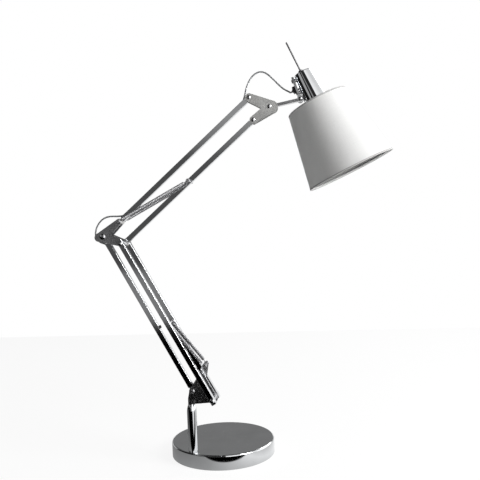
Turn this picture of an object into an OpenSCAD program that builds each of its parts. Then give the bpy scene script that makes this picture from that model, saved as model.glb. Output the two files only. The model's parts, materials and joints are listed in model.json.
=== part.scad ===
// Desk lamp on a two-stage parallelogram arm: round weighted base, swivel post, lower arm with
// one rear bar and a pair of front bars, elbow, upper arm with two bars, head bracket, neck and
// a conical fabric shade. The arms move in one vertical plane, parallel to X and Z.

/* [Base] */
// Diameter of the base
base_d = 180; // [150:1:240]
// Height of the base
base_h = 25; // [18:0.5:40]
// Thickness of the chromed cover
cover_wall = 1.2; // [0.8:0.1:2]
// Radius of the cover's top edge
cover_edge_r = 2.5; // [1:0.1:5]
// Thickness of the felt under the base
felt_t = 3; // [2:0.5:5]

/* [Post] */
// Distance of the post to the left of the base's centre
post_left = 42; // [30:1:50]
// Distance of the post in front of the base's centre
post_front = 66; // [40:1:68]
// Diameter of the post
post_d = 16; // [14:0.5:20]
// Height of the post above the base
post_h = 78; // [60:1:110]
// Diameter of the turning stem
stem_d = 9; // [7:0.5:10]

/* [Arms] */
// Pivot to pivot length of the lower arm
lower_len = 297.5; // [240:0.5:360]
// Pivot to pivot length of the upper arm
upper_len = 296.8; // [240:0.2:360]
// Angle of the lower arm above the +X axis
lower_angle = 118.6; // [112:0.2:126]
// Angle of the upper arm above the +X axis
upper_angle = 40.8; // [32:0.2:50]
// Outside width of the square bars
bar_w = 8.6; // [7:0.2:10]
// Wall thickness of the square bars
bar_wall = 1; // [0.8:0.1:1.2]
// Sideways distance of each front bar from the middle plane
pair_y = 20; // [19:0.5:26]

/* [Pivots] */
// Distance between the two lower arm pivots on the shoulder
shoulder_gap = 37; // [34:0.5:42]
// Angle of the line between those two pivots
shoulder_gap_angle = -20; // [-26:1:-14]
// Distance from the elbow's rear pivot to its top pivot
elbow_rise = 37.8; // [36:0.2:46]
// Angle of the line from the elbow's rear pivot to its top pivot
elbow_rise_angle = 39.8; // [34:0.1:44]
// Diameter of the pivot pins
pin_d = 5; // [4:0.5:5.5]
// Thickness of the steel plates
plate_t = 2; // [1.5:0.1:2.5]

/* [Springs] */
// Outside diameter of the balance springs
spring_d = 6.5; // [5:0.1:6.8]
// Wire diameter of the balance springs
wire_d = 1.5; // [1:0.1:1.8]
// Sideways distance of the lower springs from the middle plane
lower_spring_y = 12; // [11.6:0.1:12.4]
// Sideways distance of the upper springs from the middle plane
upper_spring_y = 15; // [14.5:0.1:17]

/* [Head] */
// Tilt of the shade's axis from the vertical
shade_tilt = 24.3; // [10:0.1:40]
// Diameter of the shade's top rim
shade_top_d = 102; // [90:1:120]
// Diameter of the shade's bottom rim
shade_bottom_d = 146; // [125:1:170]
// Height of the shade along its axis
shade_h = 124; // [110:1:140]
// Thickness of the shade's cloth on its backing
shade_t = 1.2; // [0.8:0.1:2]
// Length of the neck between its two pivots
neck_len = 51.4; // [46:0.5:60]
// Diameter of the lamp holder cup at its closed top
cup_top_d = 29; // [27:0.2:32]
// Diameter of the lamp holder cup at its open end
cup_bottom_d = 38; // [35:0.5:40]
// Length of the lamp holder cup
cup_len = 60; // [56:0.5:66]
// Length of the handle rod above the cup
handle_len = 54; // [40:1:70]
// Diameter of the lead
lead_d = 2.8; // [2.4:0.1:2.9]

/* [Hidden] */
$fn = 48;

// Clearances
fit = 0.05;        // radial clearance of a pin in its hole
gap = 0.1;         // side clearance of a moving eye
seat = 0.3;        // clearance between parts that only lie close together

// Base and post
post_x = -post_left;
arm_y = -post_front;
weight_gap = 0.6;
cover_foot = 0.8;
post_top = base_h + post_h;
bush_t = 0.8;
bush_len = 22;
stem_foot = post_top - 52;
set_screw_z = base_h + 31;
nipple_d = 10;
nipple_bore = 5;
nipple_nut_w = 14;
nipple_nut_h = 4.5;
washer_d = 20;
washer_t = 1.6;
clamp_depth = 5;                                // thickness of the weight under the cover at the post
post_taper = 13;
post_tip_wall = 0.4;
stem_bore = 4.2;
grommet_d = 8;
lead_z = 7.5;
lead_turn = 4.5;
exit_turn = atan2(post_front, post_left);       // the lead leaves the base opposite the post

// Pivot centres as [x, z] in the arm plane
function polar(len, angle) = len * [cos(angle), sin(angle)];
function between(p, q, share) = p + (q - p) * share;
function angle_of(v) = atan2(v[1], v[0]);
shoulder_rear = [post_x + 4, post_top + 23.4];
shoulder_front = shoulder_rear + polar(shoulder_gap, shoulder_gap_angle);
ear = shoulder_rear + [22.4, 42.6];
elbow_rear = shoulder_rear + polar(lower_len, lower_angle);
elbow_front = elbow_rear + (shoulder_front - shoulder_rear);
elbow_top = elbow_rear + polar(elbow_rise, elbow_rise_angle);
head_top = elbow_top + polar(upper_len, upper_angle);
head_bottom = head_top + (elbow_front - elbow_top);
neck_start = head_top + polar(36.7, -26.6);
neck_end = neck_start + polar(neck_len, 10.1);
lower_hook = between(elbow_front, shoulder_front, 0.514);
upper_hook = between(elbow_front, head_bottom, 0.51);

// Sideways stations, measured from the arm plane
pin_r = pin_d / 2;
hole_r = pin_r + fit;
bar_half = bar_w / 2;
eye_r = 5;
thin_washer = 0.5;
narrow_in = bar_half + gap + thin_washer;       // inner face of the shoulder and head plates
narrow_out = narrow_in + plate_t;
elbow_washer = 2.5;
elbow_in = bar_half + gap + elbow_washer;
elbow_out = elbow_in + plate_t + 0.4;
pair_in = pair_y - bar_half;
pair_out = pair_y + bar_half;
bar_edge_r = 0.6;
bore_w = bar_w - 2 * bar_wall;
head_r = 4.2;
head_h = 2;
nut_w = 8;
nut_h = 2.6;
hook_pin_r = 2;
groove_depth = 0.4;
groove_w = wire_d + 0.6;
hook_pin_over = 2.2;                            // length of a hook pin past its spring's centre
hub_r = 4;

// Springs
wire_r = wire_d / 2;
coil_r = spring_d / 2 - wire_r;
loop_r = hook_pin_r + 0.3 + wire_r;
coil_pitch = wire_d * 0.97;
spring_neck = 5;

// Head, in a frame with its origin at the centre of the shade's top rim and +Z up the shade's axis
pivot_left = 21.8;
pivot_up = 16;
strap_lean = 5.6;
strap_t = 3.5;
strap_w = 18;
strap_start = 9;
strap_end = 37;
ear_t = 3;
ear_in = bar_half + gap;
clamp_up = 17.5;
clamp_foot = 12.9;                              // clears the neck at the end of the head's tilt
clamp_len = 10.4;
clamp_t = 4.2;
nose_r = 2.8;
nose_len = 1.4;
cup_wall = 1;
cup_top = 54.2;
cup_edge_r = 1.6;
collar_d = 8;
collar_h = 4.5;
rod_d = 2.8;
carrier_z = -9;
frame_wire = 3;
holder_d = 30;
holder_top = cup_top - cup_wall - 2.5;
rod_in_holder = 5;
rod_shift = -1;
thread_d = 32;
ring_d = 42;
ring_h = 8;
bulb_cap_d = 26;
bulb_d = 46;
bulb_drop = 66;
neck_half = 2.5;
neck_eye_r = 4.2;
low_screw = strap_start + 2.5;
high_screw = strap_end - 5;
head_origin = neck_end + [pivot_left * cos(shade_tilt) + pivot_up * sin(shade_tilt),
                          pivot_left * sin(shade_tilt) - pivot_up * cos(shade_tilt)];

// Points on the lead inside a tube that runs from p to q: s along it, off to the side
function in_tube(p, q, s, off) = p + polar(s, angle_of(q - p)) + polar(off, angle_of(q - p) + 90);
lead_off = 1.5;

// Routes of the lead's three bends, as [x, z] offsets from a pivot, between the arm's tubes
shoulder_bend = [
  [-4, -15], [-3.6, -11.8], [0.2, -9.6], [4.6, -7.4], [7.4, -3.2], [8, 1.8], [6.2, 6.2], [2.4, 8.8],
  [-1.7, 10.2], [-4.6, 11.9]
];
elbow_bend_low = [
  [7, -17.5], [1, -12.5], [-6.3, -9.5], [-11.8, -5], [-14.4, 1], [-14.5, 7]
];
elbow_bend_high = [
  [-14.5, 7], [-13.2, 13], [-10.4, 19], [-6, 25], [-0.5, 29.7], [5.5, 32.4], [11.5, 33.4], [17.5, 33.5],
  [23.2, 33.3], [28.8, 33.4], [33.9, 33.9], [39.4, 35.2]
];
head_bend_start = [[-12.4, -8.6], [-10, -4], [-7.6, 3], [-6, 9], [-4.7, 14.5]];
head_bend_mid = [
  [-4.7, 14.5], [-2.5, 21], [0, 27], [3, 32.3], [7, 37], [12, 40.6], [17, 42.4], [22, 42.6], [27, 41]
];
head_bend_end = [
  [27, 41], [33, 36.7], [38, 31.6], [42.5, 27], [47, 21.8], [52, 16.6], [56, 12.8], [60, 9.8], [64, 7.6]
];

/* Helpers */

// Cylinder across the arm plane at the pivot p, from y0 to y1
module across(p, r, y0, y1) {
  translate([p[0], arm_y + y0, p[1]]) rotate([-90, 0, 0]) cylinder(r = r, h = y1 - y0);
}

// Flat sheet in the arm plane with the outline of the children, from y0 to y1
module sheet(y0, y1) {
  translate([0, arm_y + y1, 0]) rotate([90, 0, 0]) linear_extrude(y1 - y0) children();
}

// Ring across the arm plane
module ring(p, r_out, r_in, y0, y1) {
  difference() {
    across(p, r_out, y0, y1);
    across(p, r_in, y0 - 1, y1 + 1);
  }
}

// A pair of equal solids on both sides of the arm plane
module both_sides() {
  children();
  translate([0, 2 * arm_y, 0]) mirror([0, 1, 0]) children();
}

// Two circles and the outline tangent to both
module link_outline(p, q, rp, rq) {
  d = norm(q - p);
  dir = angle_of(q - p);
  open = acos((rp - rq) / d);
  translate(p) circle(r = rp);
  translate(q) circle(r = rq);
  polygon([
    p + polar(rp, dir + open), q + polar(rq, dir + open), q + polar(rq, dir - open), p + polar(rp, dir - open)
  ]);
}

// Frame with +X along the bar from p to q, at the sideways distance y
module along(p, q, y = 0) {
  translate([p[0], arm_y + y, p[1]]) rotate([0, -angle_of(q - p), 0]) children();
}

module rounded_square(w, r) {
  square([w, w - 2 * r], center = true);
  square([w - 2 * r, w], center = true);
  for (sx = [-1, 1], sy = [-1, 1]) translate([sx, sy] * (w / 2 - r)) circle(r = r, $fn = 24);
}

// Square tube from p to q, cut back by start and finish
module square_tube(p, q, y, start, finish) {
  along(p, q, y) translate([start, 0, 0]) rotate([90, 0, 90])
    linear_extrude(norm(q - p) - start - finish) difference() {
      rounded_square(bar_w, bar_edge_r);
      square(bore_w, center = true);
    }
}

// Eye on a flat tongue that is pressed into the end of a tube. side is +1 or -1: the half of the
// tube that the tongue fills, which leaves the other half to the lead.
module end_lug(p, q, reach, side) {
  tongue = bore_w / 2 - 0.1;
  difference() {
    union() {
      across(p, eye_r, -bar_half, bar_half);
      along(p, q) translate([0, -bore_w / 2, side > 0 ? 0.1 : -bore_w / 2]) cube([reach + 12, bore_w, tongue]);
    }
    across(p, hole_r, -bar_half - 1, bar_half + 1);
  }
}

// Pin with a domed head in front and a nut behind
module bolt_pin(p, y_front, y_back, r = pin_r, head = head_r) {
  across(p, r, y_front - 0.5, y_back + nut_h + 0.6);
  translate([p[0], arm_y + y_front, p[1]]) rotate([90, 0, 0]) rotate_extrude() intersection() {
    union() {
      square([head, head_h * 0.4]);
      translate([0, head_h * 0.4]) scale_dome(head, head_h * 0.6);
    }
    square([head, head_h]);
  }
  translate([p[0], arm_y + y_back, p[1]]) rotate([-90, 0, 0]) cylinder(d = nut_w / cos(30), h = nut_h, $fn = 6);
}

// Circular segment of the given half width and height, standing on the axis
module scale_dome(half, h) {
  r = (half * half + h * h) / (2 * h);
  intersection() {
    translate([0, h - r]) circle(r = r);
    square([half, h]);
  }
}

// Pin with a head at each end and a groove for each spring's hook
module hook_pin(p, hook_y, end_y) {
  difference() {
    union() {
      across(p, hook_pin_r, -end_y, end_y);
      both_sides() across(p, hook_pin_r + 0.7, hook_y + wire_r + 0.45, end_y);
    }
    both_sides() ring(p, hook_pin_r + 3, hook_pin_r - groove_depth, hook_y - groove_w / 2, hook_y + groove_w / 2);
  }
}

// Extension spring from the hook point p to the hook point q: closed coils, tapered ends and two eyes
module spring(p, q, y) {
  len = norm(q - p);
  body = len - 2 * (loop_r + spring_neck);
  turns = floor(body / coil_pitch);
  start = (len - (turns - 1) * coil_pitch) / 2;
  along(p, q, y) {
    rotate([0, 90, 0]) rotate_extrude() for (i = [0:turns - 1]) {
      last = min(i, turns - 1 - i);
      translate([min(coil_r, (0.42 + last * 0.2) * coil_r), start + i * coil_pitch]) circle(d = wire_d, $fn = 16);
    }
    for (end = [0, 1]) translate([end * len, 0, 0]) rotate([0, end * 180, 0]) {
      rotate([90, 0, 0]) rotate_extrude() translate([loop_r, 0]) circle(d = wire_d, $fn = 16);
      translate([loop_r, 0, 0]) rotate([0, 90, 0]) cylinder(d = wire_d, h = start - loop_r + wire_r, $fn = 16);
      translate([start - wire_r * 0.6, 0, 0]) rotate([0, 90, 0])
        cylinder(r = coil_r * 0.45, h = wire_d, $fn = 16);
    }
  }
}

// Round lead swept along a route of [x, z] offsets from the point origin
lead_sides = 8;
function smooth(r, i, t) =
  let (n = len(r) - 1, a = r[max(i - 1, 0)], b = r[i], c = r[min(i + 1, n)], d = r[min(i + 2, n)])
  0.5 * (2 * b + (c - a) * t + (2 * a - 5 * b + 4 * c - d) * t * t + (3 * b - a - 3 * c + d) * t * t * t);
function resample(r, steps) =
  [for (i = [0:len(r) - 2], k = [0:steps - 1]) smooth(r, i, k / steps), r[len(r) - 1]];
module lead(path, first_dir = undef, last_dir = undef) {
  n = len(path);
  points = [for (i = [0:n - 1]) let (
      dir = i == 0 && !is_undef(first_dir) ? first_dir : i == n - 1 && !is_undef(last_dir) ? last_dir
        : angle_of(path[min(i + 1, n - 1)] - path[max(i - 1, 0)]), c = path[i])
    for (k = [0:lead_sides - 1])
      let (turn = 360 * k / lead_sides, side = polar(lead_d / 2 * cos(turn), dir + 90))
      [c[0] + side[0], arm_y + lead_d / 2 * sin(turn), c[1] + side[1]]];
  faces = concat(
    [[for (k = [0:lead_sides - 1]) k]],
    [for (i = [0:n - 2], k = [0:lead_sides - 1]) let (j = (k + 1) % lead_sides, a = i * lead_sides)
      [a + k, a + lead_sides + k, a + lead_sides + j, a + j]],
    [[for (k = [lead_sides - 1:-1:0]) (n - 1) * lead_sides + k]]);
  polyhedron(points = points, faces = faces);
}

// Direction of the lead where one route ends and the next begins
function turn_between(before, after) = angle_of(after[1] - before[len(before) - 2]);

// A route given as offsets from the point origin
function from(origin, route) = [for (r = route) origin + r];

// Head frame
module in_head() {
  translate([head_origin[0], arm_y, head_origin[1]]) rotate([0, -shade_tilt, 0]) children();
}

// Strap frame: origin at the head's pivot, +Z up the strap
module in_strap() {
  in_head() translate([-pivot_left, 0, pivot_up]) rotate([0, strap_lean, 0]) children();
}

/* Base and post */

module cover_outline(r, h, edge) {
  difference() {
    square([r, h]);
    translate([r - edge, h - edge]) difference() {
      square(edge + 1);
      circle(r = edge);
    }
  }
}

module base_cover() {
  r = base_d / 2;
  color("silver") difference() {
    translate([0, 0, cover_foot]) rotate_extrude($fn = 96) difference() {
      cover_outline(r, base_h - cover_foot, cover_edge_r);
      translate([-1, -1]) cover_outline(r + 1 - cover_wall, base_h - cover_foot + 1 - cover_wall,
                                        max(cover_edge_r - cover_wall, 0.3));
    }
    translate([post_x, arm_y, 0]) cylinder(d = nipple_d + 1, h = base_h + 1);
    to_exit() cylinder(d = grommet_d + 2 * fit, h = base_d);
  }
}

// Frame with +Z along the lead's straight run out of the base, through its centre
module to_exit() {
  translate([0, 0, lead_z]) rotate([0, 0, exit_turn]) rotate([0, 90, 0]) children();
}

module base_weight() {
  r = base_d / 2 - cover_wall - weight_gap;
  top = base_h - cover_wall;
  color("dimgray") difference() {
    translate([0, 0, felt_t]) cylinder(r = r, h = top - felt_t, $fn = 96);
    translate([0, 0, top - 3]) ring_cut(r - 2, r + 1);
    translate([post_x, arm_y, 0]) {
      cylinder(d = nipple_d + 2 * fit, h = base_h);
      cylinder(d = washer_d + 1, h = top - clamp_depth);
    }
    to_exit() translate([0, 0, -norm([post_left, post_front])]) cylinder(d = lead_d + 1.2, h = base_d + 20);
    to_exit() translate([0, 0, r - 6]) cylinder(d = grommet_d + 4, h = 20);
  }
}

module ring_cut(r_in, r_out) {
  difference() {
    cylinder(r = r_out, h = 10, $fn = 96);
    translate([0, 0, -1]) cylinder(r = r_in, h = 12, $fn = 96);
  }
}

module base_felt() {
  r = base_d / 2 - cover_wall - weight_gap - 2;
  color("black") difference() {
    cylinder(r = r, h = felt_t, $fn = 96);
    translate([post_x, arm_y, -1]) cylinder(d = washer_d + 1, h = felt_t + 2);
  }
}

module cord_grommet() {
  r = base_d / 2;
  inner = sqrt(r * r - grommet_d * grommet_d / 4) - cover_wall - 0.4;
  color("black") to_exit() difference() {
    union() {
      translate([0, 0, inner - 2]) cylinder(d = grommet_d, h = r - inner + 3);
      translate([0, 0, r + 0.1]) cylinder(d = grommet_d + 2.4, h = 1.8);
      translate([0, 0, inner - 2]) cylinder(d = grommet_d + 2.4, h = 1.6);
    }
    cylinder(d = lead_d + 0.6, h = base_d);
  }
}

// Radius of the post's tapered top: an arc that starts upright, share 0, and ends at the bush, share 1
function post_taper_r(share) =
  let (drop = post_d / 2 - stem_d / 2 - bush_t - post_tip_wall,
       arc = (post_taper * post_taper + drop * drop) / (2 * drop))
  post_d / 2 - arc + sqrt(arc * arc - pow(post_taper * share, 2));

module post() {
  color("silver") translate([post_x, arm_y, base_h]) difference() {
    rotate_extrude() difference() {
      polygon(concat(
        [[0, 0], [post_d / 2, 0]],
        [for (i = [0:12]) [post_taper_r(i / 12), post_h - post_taper + post_taper * i / 12]],
        [[0, post_h]]));
      translate([post_d / 2 - 0.6, -1]) square([2, 2.2]);
    }
    translate([0, 0, stem_foot - base_h - 1]) cylinder(d = stem_d + 2 * fit, h = post_h);
    translate([0, 0, post_h - bush_len]) cylinder(d = stem_d + 2 * bush_t, h = bush_len + 1);
    translate([0, 0, -1]) cylinder(d = nipple_d + 2 * fit, h = 15);
    cylinder(d = nipple_bore, h = post_h);
    translate([0, 0, set_screw_z - base_h]) rotate([-90, 0, 0]) rotate([0, -118, 0])
      cylinder(d = 4 + 2 * fit, h = post_d);
  }
}

module post_bush() {
  color("ivory") translate([post_x, arm_y, post_top - bush_len]) difference() {
    cylinder(d = stem_d + 2 * bush_t, h = bush_len);
    translate([0, 0, -1]) cylinder(d = stem_d + 2 * fit, h = bush_len + 2);
  }
}

// Hollow threaded nipple with its washer and nut under the weight
module post_nipple() {
  seat_z = base_h - cover_wall - clamp_depth;
  color("gray") translate([post_x, arm_y, 0]) difference() {
    union() {
      translate([0, 0, seat_z - washer_t]) cylinder(d = washer_d, h = washer_t);
      translate([0, 0, seat_z - washer_t - nipple_nut_h])
        cylinder(d = nipple_nut_w / cos(30), h = nipple_nut_h, $fn = 6);
      translate([0, 0, seat_z - washer_t - nipple_nut_h - 1.5])
        cylinder(d = nipple_d, h = base_h + 12 - seat_z + washer_t + nipple_nut_h + 1.5);
    }
    cylinder(d = nipple_bore, h = base_h + post_h);
  }
}

// Lead in the base: along the weight, round a bend and up the post to the foot of the stem
module base_lead() {
  far = norm([post_left, post_front]) + base_d / 2 + 1.9;
  color("lightgray") translate([post_x, arm_y, 0]) rotate([0, 0, exit_turn]) translate([0, -arm_y, 0]) lead(concat(
    [[far, lead_z], [lead_turn + 3, lead_z]],
    [for (a = [0:15:90]) [lead_turn * (1 - sin(a)), lead_z + lead_turn * (1 - cos(a))]],
    [[0, lead_z + lead_turn + 3], [0, stem_foot]]));
}

module set_screw() {
  color("silver") translate([post_x, arm_y, set_screw_z]) rotate([-90, 0, 0]) rotate([0, -118, 0]) difference() {
    translate([0, 0, stem_d / 2 - 0.4]) cylinder(d = 4, h = post_d / 2 - stem_d / 2 + 0.6);
    translate([0, 0, post_d / 2 - 1.2]) cylinder(d = 2.2, h = 3, $fn = 6);
  }
}

/* Shoulder */

module stem() {
  tongue_w = narrow_in * 2;
  color("silver") difference() {
    union() {
      translate([post_x, arm_y, 0]) {
        translate([0, 0, stem_foot]) cylinder(d = stem_d, h = post_top + 4 - stem_foot);
      }
      sheet(-narrow_in, narrow_in) polygon([
        [post_x - stem_d / 2, post_top + 1.4], [post_x + 18, post_top + 2.2],
        [post_x + 18, post_top + 11], [post_x - stem_d / 2 + 1, post_top + 11]
      ]);
    }
    translate([post_x, arm_y, set_screw_z]) rotate_extrude() translate([stem_d / 2 - 0.8, -3]) square([2, 6]);
    translate([post_x, arm_y, 0]) cylinder(d = stem_bore, h = post_top + 40);
    sheet(-stem_bore / 2, stem_bore / 2) polygon([
      [post_x - 1.5, post_top + 18], [post_x - 1.5, post_top + 7], [post_x + 9, post_top + 7],
      [post_x + 16, post_top + 18]
    ]);
    for (x = stem_rivet_x()) across([x, post_top + 6.5], 2 + fit, -20, 20);
    ring_relief(shoulder_rear, eye_r + seat, tongue_w);
  }
}

function stem_rivet_x() = [post_x + 6.5, post_x + 14.5];

module ring_relief(p, r, w) {
  across(p, r, -w, w);
}

module shoulder_outline() {
  s = shoulder_rear;
  polygon([
    s + [-8.3, -22], s + [-8.3, -12], s + [-5.4, 1.5], s + [-1, 8.6], s + [5.9, 18.9], ear + [-3.3, 2.2],
    ear + [3.9, -1], s + [23, 22.4], shoulder_front + [6.2, 2.6], shoulder_front + [-1, -6.5]
  ]);
  translate(s) circle(r = 6);
  translate(ear) circle(r = 4);
  translate(shoulder_front) circle(r = 6.6);
}

module shoulder_plate(y0, y1) {
  difference() {
    sheet(y0, y1) shoulder_outline();
    across(shoulder_rear, hole_r, y0 - 1, y1 + 1);
    across(shoulder_front, hole_r, y0 - 1, y1 + 1);
    across(ear, hook_pin_r + fit, y0 - 1, y1 + 1);
    for (x = stem_rivet_x()) across([x, post_top + 6.5], 2 + fit, y0 - 1, y1 + 1);
  }
}

module shoulder_plates() { color("darkgray") both_sides() shoulder_plate(narrow_in, narrow_out); }

module stem_rivets() {
  color("silver") for (x = stem_rivet_x())
    across([x, post_top + 6.5], 2, -narrow_out - 0.1, narrow_out + 0.1);
}

module shoulder_rear_pin() { color("silver") bolt_pin(shoulder_rear, -narrow_out, narrow_out, head = 3.6); }
module shoulder_front_pin() { color("silver") bolt_pin(shoulder_front, -pair_out - gap, pair_out + gap); }
module ear_pin() { color("silver") hook_pin(ear, lower_spring_y, lower_spring_y + hook_pin_over + 1.2); }

module shoulder_spacers() {
  color("silver") {
    ring(shoulder_front, hub_r + 0.5, hole_r, -narrow_in, narrow_in);
    both_sides() ring(shoulder_front, hub_r + 0.5, hole_r, narrow_out, pair_in - gap);
  }
}

module shoulder_lead() {
  color("lightgray") lead(concat([[post_x, stem_foot]], resample(from(shoulder_rear, shoulder_bend), 2),
    [in_tube(shoulder_rear, elbow_rear, 16, -lead_off), in_tube(shoulder_rear, elbow_rear, 20, -lead_off)]),
    90, lower_angle);
}

module shoulder_washers() {
  color("ivory") both_sides() ring(shoulder_rear, eye_r, hole_r, bar_half + gap, narrow_in);
}

/* Lower arm */

module lower_rear_tube() {
  color("silver") square_tube(shoulder_rear, elbow_rear, 0, 14, 25);
}

module lower_rear_lugs() {
  color("silver") {
    end_lug(shoulder_rear, elbow_rear, 14, 1);
    end_lug(elbow_rear, shoulder_rear, 25, 1);
  }
}

module elbow_lead_low() {
  color("lightgray") lead(concat(
    [in_tube(shoulder_rear, elbow_rear, 20, -lead_off), in_tube(elbow_rear, shoulder_rear, 32, -lead_off)],
    resample(concat([in_tube(elbow_rear, shoulder_rear, 26, -lead_off)], from(elbow_rear, elbow_bend_low)), 2)),
    lower_angle, turn_between(elbow_bend_low, elbow_bend_high));
}

module rubber_stop() {
  color("black") along(shoulder_rear, elbow_rear) translate([119, 0, -bar_half - 2.6]) cylinder(d = 5, h = 2.6);
}

module front_tube(y) {
  over = 5.5;
  difference() {
    square_tube(shoulder_front, elbow_front, y, -over, -over);
    across(shoulder_front, hole_r, y - bar_w, y + bar_w);
    across(elbow_front, pin_r + 0.3, y - bar_w, y + bar_w);
    across(lower_hook, hook_pin_r + fit, y - bar_w, y + bar_w);
  }
}

module lower_front_tubes() { color("silver") both_sides() front_tube(pair_y); }

// Caps with a short spigot in the four open tube ends
module lower_front_plugs() {
  over = 5.5;
  color("silver") for (y = [-pair_y, pair_y], end = [0, 1])
    along(end == 0 ? shoulder_front : elbow_front, end == 0 ? elbow_front : shoulder_front, y)
      translate([-over - 1, 0, 0]) rotate([90, 0, 90]) {
        linear_extrude(1) rounded_square(bar_w, bar_edge_r);
        linear_extrude(2.6) square(bore_w, center = true);
      }
}

module lower_spring_pin() {
  color("silver") difference() {
    union() {
      across(lower_hook, hook_pin_r, -pair_out, pair_out);
      both_sides() across(lower_hook, hook_pin_r + 1.2, pair_out, pair_out + 1.1);
    }
    both_sides() ring(lower_hook, hook_pin_r + 3, hook_pin_r - groove_depth,
                      lower_spring_y - groove_w / 2, lower_spring_y + groove_w / 2);
  }
}

module lower_springs() {
  color("gray") for (y = [-lower_spring_y, lower_spring_y]) spring(lower_hook, ear, y);
}

/* Elbow */

module elbow_outline() {
  lobe = elbow_rear + [-6.8, -1.4];
  link_outline(lobe, elbow_top, 6.9, 4.8);
  link_outline(lobe, elbow_front, 6.9, 5.6);
  link_outline(elbow_rear, elbow_top, 8.6, 4.8);
  link_outline(elbow_rear, elbow_front, 8.6, 5.6);
}

module elbow_plate(y0, y1) {
  difference() {
    sheet(y0, y1) elbow_outline();
    for (p = [elbow_rear, elbow_top, elbow_front]) across(p, hole_r, y0 - 1, y1 + 1);
  }
}

module elbow_plates() { color("darkgray") both_sides() elbow_plate(elbow_in, elbow_out); }
module elbow_rear_pin() { color("silver") bolt_pin(elbow_rear, -elbow_out, elbow_out, head = 4.8); }
module elbow_front_pin() { color("silver") bolt_pin(elbow_front, -pair_out - gap, pair_out + gap, head = 3.4); }

module elbow_top_pin() {
  end_y = upper_spring_y + hook_pin_over + 1.2;
  color("silver") {
    across(elbow_top, pin_r, -elbow_out, elbow_out);
    hook_pin(elbow_top, upper_spring_y, end_y);
  }
}

module elbow_spacers() {
  color("silver") both_sides() {
    ring(elbow_front, hub_r + 0.5, hole_r, elbow_out, pair_in - gap);
    ring(elbow_top, hub_r, hook_pin_r + fit, elbow_out, upper_spring_y - wire_r - 0.6);
  }
}

module elbow_washers() {
  color("ivory") both_sides() for (p = [elbow_rear, elbow_top, elbow_front])
    ring(p, eye_r, hole_r, bar_half + gap, elbow_in);
}

module elbow_lead_high() {
  color("lightgray") lead(concat(resample(from(elbow_rear, elbow_bend_high), 2), [
    in_tube(elbow_top, head_top, 18, lead_off), in_tube(elbow_top, head_top, 24, lead_off)]),
    turn_between(elbow_bend_low, elbow_bend_high), upper_angle);
}

/* Upper arm */

upper_reach = 17;
lower_reach = 8;

module upper_top_tube() {
  color("silver") square_tube(elbow_top, head_top, 0, upper_reach, upper_reach);
}

module upper_top_lugs() {
  color("silver") {
    end_lug(elbow_top, head_top, upper_reach, -1);
    end_lug(head_top, elbow_top, upper_reach, 1);
  }
}

module head_lead_start() {
  color("lightgray") lead(concat(
    [in_tube(elbow_top, head_top, 24, lead_off), in_tube(head_top, elbow_top, 26, -lead_off)],
    resample(concat([in_tube(head_top, elbow_top, 19, -lead_off)], from(head_top, head_bend_start)), 2)),
    upper_angle, turn_between(head_bend_start, head_bend_mid));
}

module upper_bottom_tube() {
  color("silver") difference() {
    square_tube(elbow_front, head_bottom, 0, lower_reach, lower_reach);
    across(upper_hook, hook_pin_r + fit, -bar_w, bar_w);
  }
}

module upper_bottom_lugs() {
  color("silver") {
    end_lug(elbow_front, head_bottom, lower_reach, -1);
    difference() {
      end_lug(head_bottom, elbow_front, lower_reach, 1);
      across(head_bottom, pin_r + 0.3, -bar_w, bar_w);
    }
  }
}

module upper_spring_pin() {
  color("silver") hook_pin(upper_hook, upper_spring_y, upper_spring_y + hook_pin_over + 1.2);
}

module upper_springs() {
  color("gray") for (y = [-upper_spring_y, upper_spring_y]) spring(elbow_top, upper_hook, y);
}

/* Head bracket and neck */

module head_outline() {
  nose = neck_start + polar(4, -10);
  link_outline(head_top, nose, 6.6, 9.7);
  link_outline(head_bottom, nose, 6, 9.4);
}

module head_plate(y0, y1) {
  difference() {
    sheet(y0, y1) head_outline();
    for (p = [head_top, head_bottom, neck_start]) across(p, hole_r, y0 - 1, y1 + 1);
  }
}

module head_plates() { color("gainsboro") both_sides() head_plate(narrow_in, narrow_out); }
module head_lead_mid() {
  color("lightgray") lead(resample(from(head_top, head_bend_mid), 2),
    turn_between(head_bend_start, head_bend_mid), turn_between(head_bend_mid, head_bend_end));
}

module bracket_pins() {
  color("dimgray") for (p = [head_top, head_bottom, neck_start]) bolt_pin(p, -narrow_out, narrow_out, head = 3.2);
}

module bracket_washers() {
  color("ivory") both_sides() for (p = [head_top, head_bottom, neck_start])
    ring(p, eye_r, hole_r, bar_half + gap, narrow_in);
}

module neck_link() {
  color("silver") difference() {
    union() {
      across(neck_start, eye_r, -bar_half, bar_half);
      across(neck_end, neck_eye_r, -bar_half, bar_half);
      along(neck_start, neck_end) translate([0, -bar_half, -neck_half])
        cube([neck_len, bar_w, 2 * neck_half]);
    }
    across(neck_start, hole_r, -bar_w, bar_w);
    across(neck_end, hole_r, -bar_w, bar_w);
  }
}

/* Head */

module head_strap() {
  ear_out = ear_in + ear_t;
  color("silver") in_strap() difference() {
    union() {
      translate([-strap_t / 2, -strap_w / 2, strap_start]) cube([strap_t, strap_w, strap_end - strap_start]);
      for (y = [-ear_out, ear_in]) translate([0, y + ear_t, 0]) rotate([90, 0, 0]) linear_extrude(ear_t) {
        circle(r = 4.8);
        polygon([[-4.8, 0], [4.8, 0], [strap_t / 2, strap_start + 0.6], [-strap_t / 2, strap_start + 0.6]]);
      }
    }
    rotate([90, 0, 0]) cylinder(r = hole_r, h = strap_w * 2, center = true);
    for (z = [high_screw, low_screw]) translate([-strap_t, 0, z]) rotate([0, 90, 0])
      cylinder(d = 3 + 2 * fit, h = 2 * strap_t);
    translate([-strap_t, 0, clamp_up]) rotate([0, 90, 0]) cylinder(d = lead_d + 1.2, h = 2 * strap_t);
  }
}

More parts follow.
